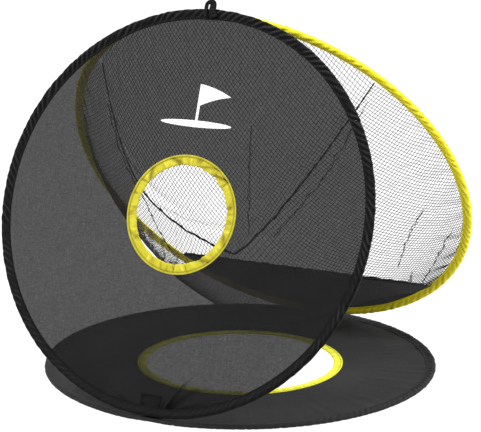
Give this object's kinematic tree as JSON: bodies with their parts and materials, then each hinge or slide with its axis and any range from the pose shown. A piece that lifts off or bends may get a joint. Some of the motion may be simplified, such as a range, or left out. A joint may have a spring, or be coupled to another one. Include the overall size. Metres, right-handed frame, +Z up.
{
  "type": "golf chipping net",
  "caption": "Pop-up golf chipping net of sprung fabric hoops hinged into a standing prism, with target holes in its front and ground faces and a net pocket behind.",
  "frame": {"origin": "centre of the ground hoop, on the floor it lies on", "axes": "+X to the right for a player facing the small target, +Y away from that player toward the net hoop, +Z up"},
  "size_m": [0.6352, 0.58, 0.5578],
  "materials": {
    "sleeve_black": "matte polyester sleeve",
    "sleeve_yellow": "bright satin polyester sleeve",
    "panel_black": "matte woven polyester",
    "mesh_black": "sheer fine mesh",
    "net_black": "open knitted netting",
    "binding_yellow": "bright satin bias tape",
    "webbing_black": "woven tape",
    "print_white": "matte screen print",
    "spring_steel": "bright drawn wire"
  },
  "bodies": {
    "ground": {"ground_hoop_wire": "spring_steel", "ground_hoop_ferrule": "spring_steel", "ground_hoop_sleeve": "sleeve_black", "ground_panel": "panel_black", "ground_target_binding": "binding_yellow", "front_hinge_base_tab": "webbing_black", "back_hinge_base_tab": "webbing_black"},
    "front": {"front_hoop_wire": "spring_steel", "front_hoop_ferrule": "spring_steel", "front_hoop_sleeve": "sleeve_black", "front_panel": "mesh_black", "front_target_binding": "binding_yellow", "front_print_mark": "print_white", "front_hinge_tab": "webbing_black", "front_top_tab": "webbing_black", "hanging_loop": "webbing_black"},
    "back": {"back_hoop_wire": "spring_steel", "back_hoop_ferrule": "spring_steel", "back_hoop_sleeve": "sleeve_yellow", "back_lower_panel": "panel_black", "back_panel_tape": "webbing_black", "net_upper_panel": "net_black", "net_lower_panel": "net_black", "net_seam_tape": "webbing_black", "back_hinge_tab": "webbing_black", "back_top_tab": "webbing_black"}
  },
  "joints": [
    {"name": "front_fold", "type": "hinge", "parent": "ground", "child": "front", "pos_m": [0, -0.2857, 0.0108], "axis": [1, 0, 0], "range_deg": [0, 111]},
    {"name": "back_fold", "type": "hinge", "parent": "ground", "child": "back", "pos_m": [0, 0.27, 0.0108], "axis": [-1, 0, 0], "range_deg": [0, 123]}
  ]
}
